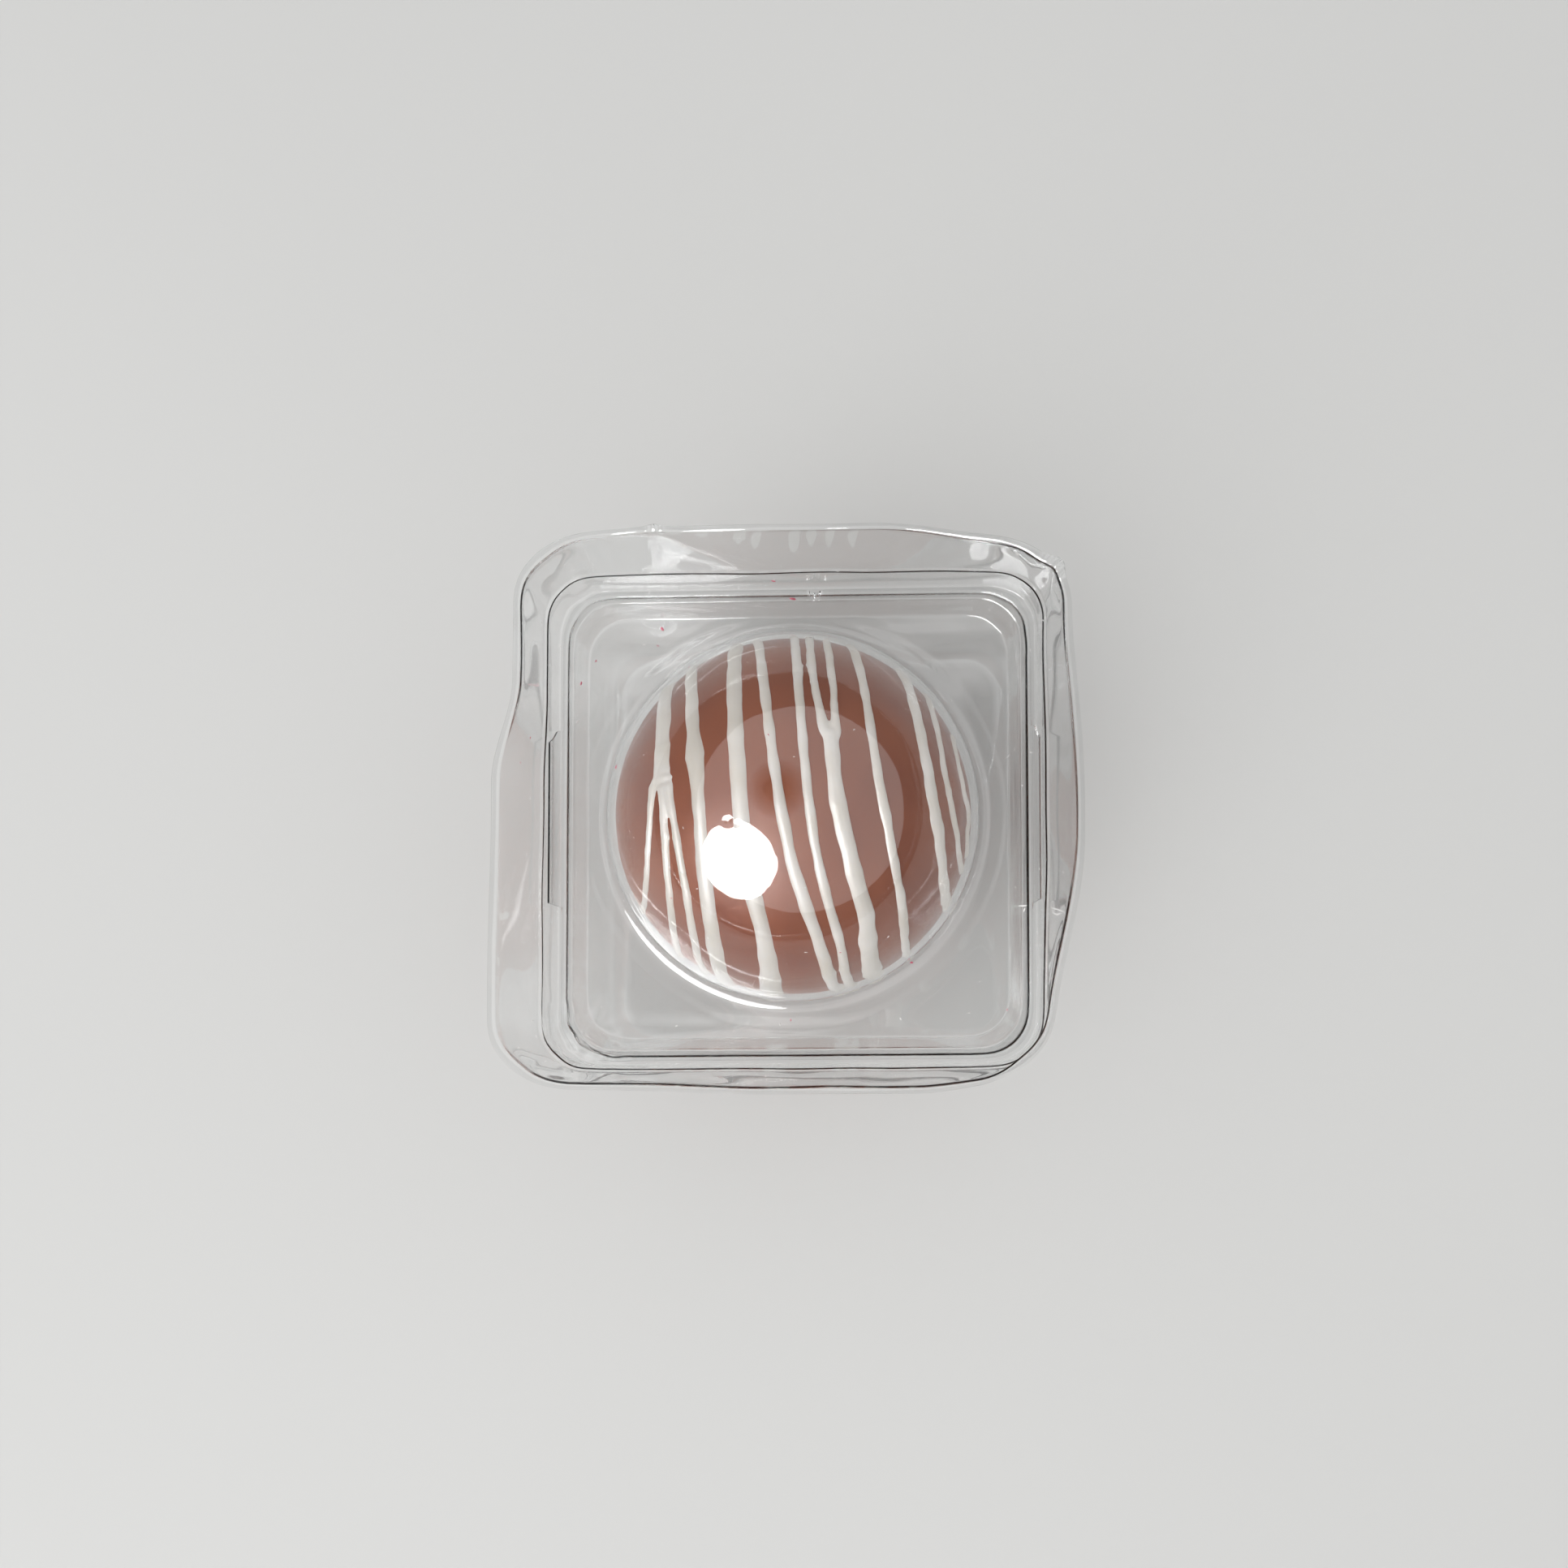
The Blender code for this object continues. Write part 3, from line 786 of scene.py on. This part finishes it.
lidSettings = {
    "film": 0.26,
    "profile": (
        (32.7, 27.8, 0.0),
        (31.15, 27.8, 0.5),
        (29.5, 25.1, 0.5),
        (28.0, 25.1, 0.0),
    ),
    "panelHeight": 25.1,
    "panelRings": 5,
    # shallow bowls of the panel: the place and the reach to the right and to the back, and the depth
    "bowls": (
        (-19.0, 25.0, 9.5, 4.5, 0.95),
        (20.0, 24.6, 10.0, 4.6, 0.95),
        (6.0, 27.2, 16.0, 0.7, 0.10),
        (-7.5, -28.0, 15.0, 1.3, 0.24),
    ),
    "bowlFrom": 27.6,  # no bowl reaches nearer to the dome's middle than that
    "bowlFull": 29.2,
    "bowlRise": (0.6, 1.6),  # how far above the panel the bowls fade out
    "grooveRadius": 29.9,  # a faint ring pressed into the corners of the panel
    "grooveWidth": 0.5,
    "grooveDepth": 0.05,
    "grooveRise": (0.1, 0.5),
    "domeRadius": 25.9,
    "flare": 1.3,
    "flareSteps": 2,
    "domeRings": 6,
    "domeSlack": 0.2,  # points that lie this little outside the dome are still drawn to it
    "domeWaveRise": 3.0,  # how far above its foot the dome's waves are full
    "capRadius": 13.0,
    "waveSize": 13.0,
    "wave": 0.10,
    "domeWaveSize": 9.0,
    "domeWave": 0.06,
    "domeRippleSize": 2.6,
    "domeRipple": 0.01,
    "dimplePixel": (912, 1062),  # round here the dome is dimpled
    "dimpleHeight": 45.0,
    "dimpleReach": 7.0,
    "dimpleSize": 1.9,
    "dimple": 0.035,
    "dents": (((897, 1012), 0.5, 0.16), ((908, 1016), 0.3, 0.08)),  # the pixel, the reach and the depth
    "snags": (((1004, 728), 270.0, 0.5, 0.3, 0.8, 0.9),),  # written as for the tray
    # the tab: its ends, and how far out and up each fold of it lies
    "tabFront": -11.6,
    "tabBack": 13.4,
    "tabSide": 0.9,  # the share of the half-width past which an edge belongs to a side
    "tabChamfer": 2.4,
    "chamferFrom": 1.0,  # how far above the lid's edge the chamfer starts
    "tabFolds": ((0.12, 0.25), (0.25, 0.6), (0.55, 2.1), (0.9, 3.7), (1.2, 5.2)),
}


def pullToCircle(sheet, radius, height, share):  # the picked loop goes this share of the way to a circle
    bpy.ops.mesh.extrude_edges_move(TRANSFORM_OT_translate={"value": (0, 0, 0)})
    shape = bmesh.from_edit_mesh(sheet.data)
    for vert in shape.verts:
        if vert.select:
            spoke = vert.co.xy - ballMiddle.xy
            reach = spoke.length + (radius * mm - spoke.length) * share
            place = ballMiddle.xy + spoke.normalized() * reach
            vert.co = (place.x, place.y, height * mm)
    bmesh.update_edit_mesh(sheet.data)


def makeDome(sheet, s):  # goes on from the panel's picked inner edge: flare, dome, and a grid over the crown
    ballHeight = ballMiddle.z / mm
    foot = s["panelHeight"] + s["flare"]
    start = math.asin((foot - ballHeight) / s["domeRadius"])
    flareMiddle = s["domeRadius"] * math.cos(start) + s["flare"]
    rings = []
    for i in range(s["flareSteps"] + 1):
        turn = math.pi / 2 * i / s["flareSteps"]
        rings.append((flareMiddle - s["flare"] * math.sin(turn), foot - s["flare"] * math.cos(turn)))
    top = math.acos(s["capRadius"] / s["domeRadius"])
    for i in range(1, s["domeRings"] + 1):
        lift = start + (top - start) * i / s["domeRings"]
        rings.append((s["domeRadius"] * math.cos(lift), ballHeight + s["domeRadius"] * math.sin(lift)))
    for left in range(s["panelRings"], 0, -1):
        pullToCircle(sheet, *rings[0], 1 / left)
    for (radius, height), (nextRadius, nextHeight) in zip(rings, rings[1:]):
        bpy.ops.mesh.extrude_edges_move(TRANSFORM_OT_translate={"value": (0, 0, (nextHeight - height) * mm)})
        bpy.ops.transform.resize(
            value=(nextRadius / radius, nextRadius / radius, 1),
            center_override=(ballMiddle.x, ballMiddle.y, nextHeight * mm))
    square = squareSettings
    bpy.ops.mesh.fill_grid(span=square["cornerSegments"] + 1 + square["sideCuts"])


def raiseTabs(sheet, s):
    rimHeight = s["profile"][0][1] * mm
    tabSide = s["tabSide"] * s["profile"][0][0] * mm
    for side in (-1, 1):
        pick(sheet)
        bpy.ops.object.mode_set(mode="EDIT")

        def onTab(edge):
            middle = (edge.verts[0].co + edge.verts[1].co) / 2 - packMiddle
            between = s["tabFront"] * mm < middle.y < s["tabBack"] * mm
            return edge.is_boundary and between and middle.x * side > tabSide

        selectEdges(sheet, onTab)
        out, up = 0.0, 0.0
        for nextOut, nextUp in s["tabFolds"]:
            bpy.ops.mesh.extrude_edges_move(
                TRANSFORM_OT_translate={"value": ((nextOut - out) * side * mm, 0, (nextUp - up) * mm)})
            out, up = nextOut, nextUp
        leaveEditMode()
    backEnd = s["tabBack"] - s["tabChamfer"]
    topRise = s["tabFolds"][-1][1]
    for vert in sheet.data.vertices:
        rise = (vert.co.z - rimHeight) / mm
        y = (vert.co.y - packMiddle.y) / mm
        if rise > s["chamferFrom"] and abs(vert.co.x - packMiddle.x) > tabSide and y > backEnd:
            vert.co.y -= (y - backEnd) * smoothStep(s["chamferFrom"], topRise, rise) * mm


def shapeLid(sheet, s):  # rounds the dome, presses the groove and the bowls into the panel, adds the waves
    foot = (s["panelHeight"] + s["flare"]) * mm
    for vert in sheet.data.vertices:
        spoke = vert.co - ballMiddle
        if spoke.xy.length < (s["domeRadius"] + s["domeSlack"]) * mm and vert.co.z > foot:
            vert.co = ballMiddle + spoke.normalized() * s["domeRadius"] * mm
        groove = hill(spoke.xy.length / mm - s["grooveRadius"], s["grooveWidth"])
        groove *= 1 - smoothStep(*s["grooveRise"], vert.co.z / mm - s["panelHeight"])
        vert.co.z -= groove * s["grooveDepth"] * mm
        x, y = (vert.co - packMiddle).xy / mm
        outside = smoothStep(s["bowlFrom"], s["bowlFull"], spoke.xy.length / mm)
        outside *= 1 - smoothStep(*s["bowlRise"], vert.co.z / mm - s["panelHeight"])
        for right, backward, reachX, reachY, depth in s["bowls"]:
            bowl = hill((x - right) / reachX, 1) * hill((y - backward) / reachY, 1)
            vert.co.z -= bowl * depth * outside * mm
    dimple = seenAt(s["dimplePixel"], s["dimpleHeight"] * mm)

    def onDome(place):
        return smoothStep(foot, foot + s["domeWaveRise"] * mm, place.z)

    def onDimple(place):
        return hill((place - dimple).length / mm, s["dimpleReach"])

    def onPanel(place):
        return 1 - smoothStep(foot - mm, foot, place.z)

    waveSheet(sheet, s["domeWaveSize"], s["domeWave"], 4.0, onDome)
    waveSheet(sheet, s["domeRippleSize"], s["domeRipple"], 9.0, onDome)
    waveSheet(sheet, s["dimpleSize"], s["dimple"], 11.0, onDimple)
    waveSheet(sheet, s["waveSize"], s["wave"], 6.0, onPanel)


def makeLid(s):
    profile = bentProfile(s["profile"])[:-1]
    sheet = startSquare("lidFilm", *profile[0])
    bpy.ops.mesh.delete(type="ONLY_FACE")
    selectEdges(sheet, lambda edge: True)
    growRings(profile)
    makeDome(sheet, s)
    bpy.ops.mesh.select_all(action="SELECT")
    bpy.ops.mesh.normals_make_consistent(inside=False)
    leaveEditMode()
    addModifier(sheet, "SUBSURF", levels=2, render_levels=2)
    shapeLid(sheet, s)
    dentSheet(sheet, s["dents"])
    crinkleCorners(sheet, s["profile"][0][1])
    snagEdge(sheet, s["profile"][0][1], s["snags"])
    raiseTabs(sheet, s)
    thicken(sheet, s["film"])
    settle(sheet)
    return sheet


lid = makeLid(lidSettings)
finishPiece(lid, clearFilm, "clear_lid", "lid")


# Crumbs and fibres that lie on the film

crumbSettings = {
    "white": {
        "dark": (0.66, 0.64, 0.62),
        "light": (0.86, 0.85, 0.84),
        "seed": 4,
        "scattered": 70,
        "length": (0.14, 0.5),
        "width": (0.08, 0.17),
        # single ones: the pixel, the turn, the length and the width
        "single": (
            ((1260, 1116), 0, 1.3, 0.22), ((1262, 1121), 70, 0.7, 0.16), ((712, 889), 35, 0.9, 0.12),
            ((842, 671), -10, 0.9, 0.10), ((800, 730), 80, 0.5, 0.12), ((646, 870), 90, 0.9, 0.08),
            ((1031, 704), 75, 0.7, 0.07), ((961, 1262), 10, 0.35, 0.20), ((1194, 1248), 50, 0.5, 0.14),
            ((1242, 932), 40, 0.9, 0.09), ((943, 1326), 5, 1.3, 0.10), ((1219, 752), 50, 0.5, 0.10),
        ),
    },
    "pink": {
        "dark": (0.42, 0.05, 0.09),
        "light": (0.62, 0.13, 0.20),
        "seed": 9,
        "scattered": 9,
        "length": (0.2, 0.42),
        "width": (0.12, 0.22),
        "single": (
            ((953, 716), 60, 0.7, 0.3), ((977, 738), 80, 0.9, 0.34), ((816, 775), 40, 0.6, 0.36),
            ((716, 842), 70, 0.6, 0.3), ((759, 945), 90, 0.6, 0.26), ((1123, 1186), 30, 0.6, 0.3),
        ),
    },
    "area": (625, 655, 1320, 1325),  # the part of the frame that they are scattered over
    "lumps": 2.5,  # lumps to a millimetre
    "lumpHeight": 0.4,
    "flatness": 0.7,
    "broadScale": 900.0,
    "fineScale": 4000.0,
    "fineShare": 0.5,
    "roughness": (0.5, 0.8),
}


def makeCrumbFinish(name, row, s):
    material, nodes, links = newMaterial(name)
    addGrain(nodes, links, nodes["Principled BSDF"], {**s, **row})
    return material


def landOn(pixel):  # the first spot of film that the camera sees at a pixel of the frame, and its normal
    eye = camera.matrix_world.translation
    look = (seenAt(pixel, 0.0) - eye).normalized()
    hits = [sheet.ray_cast(eye, look) for sheet in (lid, tray)]
    hits = [(place, normal) for found, place, normal, _ in hits if found]
    return min(hits, key=lambda hit: (hit[0] - eye).length) if hits else None


def makeCrumbs(name, row, s):
    dice = random.Random(row["seed"])
    left, top, right, bottom = s["area"]
    crumbs = list(row["single"])
    for _ in range(row["scattered"]):
        pixel = (dice.uniform(left, right), dice.uniform(top, bottom))
        turn = dice.uniform(0, 180)
        crumbs.append((pixel, turn, dice.uniform(*row["length"]), dice.uniform(*row["width"])))
    slivers = []
    for pixel, turn, length, width in crumbs:
        spot = landOn(pixel)
        if not spot:
            continue
        place, normal = spot
        deselectAll()
        bpy.ops.mesh.primitive_ico_sphere_add(subdivisions=2, radius=0.5 * mm, location=place)
        sliver = bpy.context.object
        for vert in sliver.data.vertices:
            lump = noise.noise(vert.co / mm * s["lumps"] + Vector(pixel + (0.0,)))
            vert.co *= 1 + s["lumpHeight"] * lump
        sliver.scale = (length, width, width * s["flatness"])
        sliver.rotation_mode = "QUATERNION"
        sliver.rotation_quaternion = normal.to_track_quat("Z", "X") @ Matrix.Rotation(
            math.radians(turn), 3, "Z").to_quaternion()
        slivers.append(sliver)
    deselectAll()
    for sliver in slivers:
        sliver.select_set(True)
    bpy.context.view_layer.objects.active = slivers[0]
    bpy.ops.object.join()
    piece = newest(name)
    settle(piece)
    bpy.ops.object.shade_smooth()
    return piece


for tone in ("white", "pink"):
    crumbs = makeCrumbs(tone + "Crumbs", crumbSettings[tone], crumbSettings)
    finishPiece(crumbs, makeCrumbFinish(tone + "CrumbFinish", crumbSettings[tone], crumbSettings), "")


# Light and floor

lightSettings = {
    # how far each lamp is turned and tilted off the camera's line in degrees, its distance and size,
    # how bright its face is, and whether it is for gloss or for matt surfaces
    "lamps": {
        "keyGlow": (219.0, 43.4, 800.0, 680.0, 17.0, "gloss"),
        "keyLamp": (219.0, 43.4, 760.0, 690.0, 2.2, "matt"),
        "topGlow": (45.0, 7.5, 1000.0, 4500.0, 1.05, "gloss"),
    },
    "cardDistance": 850.0,  # a dark card overhead with a soft rim, which only reflections show
    "cardRadius": 290.0,
    "cardColor": (0.01, 0.01, 0.01),
    "cardCore": 0.34,  # the share of its radius that is fully dark
    "cardLean": (-0.085, 0.15),  # the way to it from the ball, rightwards and backwards for each length up
    "worldSeen": 0.6,  # the studio wall behind
    "worldMatt": 0.8,  # what lights matt surfaces from all around
    "worldAround": 0.2,
}


def addLamp(name, turn, tilt, distance, size, brightness, kind):
    right, up, back = (camera.matrix_world.to_3x3().col[i] for i in range(3))
    aside = right * math.cos(math.radians(turn)) + up * math.sin(math.radians(turn))
    toLamp = back * math.cos(math.radians(tilt)) + aside * math.sin(math.radians(tilt))
    radius = size * mm / 2
    data = bpy.data.lights.new(name, "AREA")
    data.shape = "DISK"
    data.size = radius * 2
    data.energy = brightness * math.pi * math.pi * radius**2  # the power that makes its face that bright
    lamp = bpy.data.objects.new(name, data)
    bpy.context.scene.collection.objects.link(lamp)
    lamp.location = ballMiddle + toLamp * distance * mm
    lamp.rotation_mode = "QUATERNION"
    lamp.rotation_quaternion = (-toLamp).to_track_quat("-Z", "Y")
    lamp.visible_camera = False
    lamp.visible_diffuse = kind == "matt"
    lamp.visible_glossy = kind == "gloss"
    lamp.visible_transmission = kind == "gloss"


def makeCard(s):
    toCard = Vector((*s["cardLean"], 1.0)).normalized()
    radius = s["cardRadius"] * mm
    deselectAll()
    bpy.ops.mesh.primitive_circle_add(
        vertices=64, radius=radius, fill_type="NGON", location=ballMiddle + toCard * s["cardDistance"] * mm,
        rotation=toCard.to_track_quat("Z", "Y").to_euler())
    card = newest("darkCard")
    material, nodes, links = newMaterial("darkCardFinish")
    shader = nodes["Principled BSDF"]
    shader.inputs["Base Color"].default_value = (*s["cardColor"], 1)
    shader.inputs["Specular IOR Level"].default_value = 0.0
    place = nodes.new("ShaderNodeTexCoord")
    length = nodes.new("ShaderNodeVectorMath")
    length.operation = "LENGTH"
    links.new(place.outputs["Object"], length.inputs[0])
    cover = addRange(nodes, links, length.outputs["Value"], radius * s["cardCore"], radius, 1.0, 0.0)
    links.new(cover, shader.inputs["Alpha"])
    card.data.materials.append(material)
    card.visible_camera = False
    card.visible_diffuse = False
    card.visible_shadow = False


def makeWorld(s):
    world = bpy.data.worlds.new("studio")
    world.use_nodes = True
    nodes, links = world.node_tree.nodes, world.node_tree.links
    path = nodes.new("ShaderNodeLightPath")
    around = s["worldAround"]
    toMatt = addRange(nodes, links, path.outputs["Is Diffuse Ray"], 0.0, 1.0, around, s["worldMatt"])
    seenMore = addRange(nodes, links, path.outputs["Is Camera Ray"], 0.0, 1.0, 0.0, s["worldSeen"] - around)
    total = nodes.new("ShaderNodeMath")  # adds up both
    links.new(toMatt, total.inputs[0])
    links.new(seenMore, total.inputs[1])
    nodes["Background"].inputs["Color"].default_value = (1, 1, 1, 1)
    links.new(total.outputs[0], nodes["Background"].inputs["Strength"])
    bpy.context.scene.world = world


def makeLights(s):
    for name, row in s["lamps"].items():
        addLamp(name, *row)
    makeCard(s)
    makeWorld(s)
    bpy.context.scene.view_settings.view_transform = "Standard"
    print("lights ready")


floorSettings = {
    "size": 6000.0,
    "color": (0.62, 0.62, 0.61),
    "variation": 1.02,
    "broadScale": 6.0,
    "fineScale": 400.0,
    "fineShare": 0.2,
    "shadeRange": (0.3, 0.7),
    "roughness": 0.8,
    "shine": 0.1,
}


def makeFloor(s):
    deselectAll()
    bpy.ops.mesh.primitive_plane_add(size=s["size"] * mm, location=(0, 0, 0))
    floor = newest("floor")
    material, nodes, links = newMaterial("floorFinish")
    shader = nodes["Principled BSDF"]
    grain = addMottle(nodes, links, s["broadScale"], s["fineScale"], s["fineShare"])
    shade = addRange(nodes, links, grain.outputs["Broad"], *s["shadeRange"], 0.0, 1.0)
    lighter = tuple(c * s["variation"] for c in s["color"])
    links.new(mixColors(nodes, links, shade, s["color"], lighter), shader.inputs["Base Color"])
    shader.inputs["Roughness"].default_value = s["roughness"]
    shader.inputs["Specular IOR Level"].default_value = s["shine"]
    floor.data.materials.append(material)


makeLights(lightSettings)
makeFloor(floorSettings)
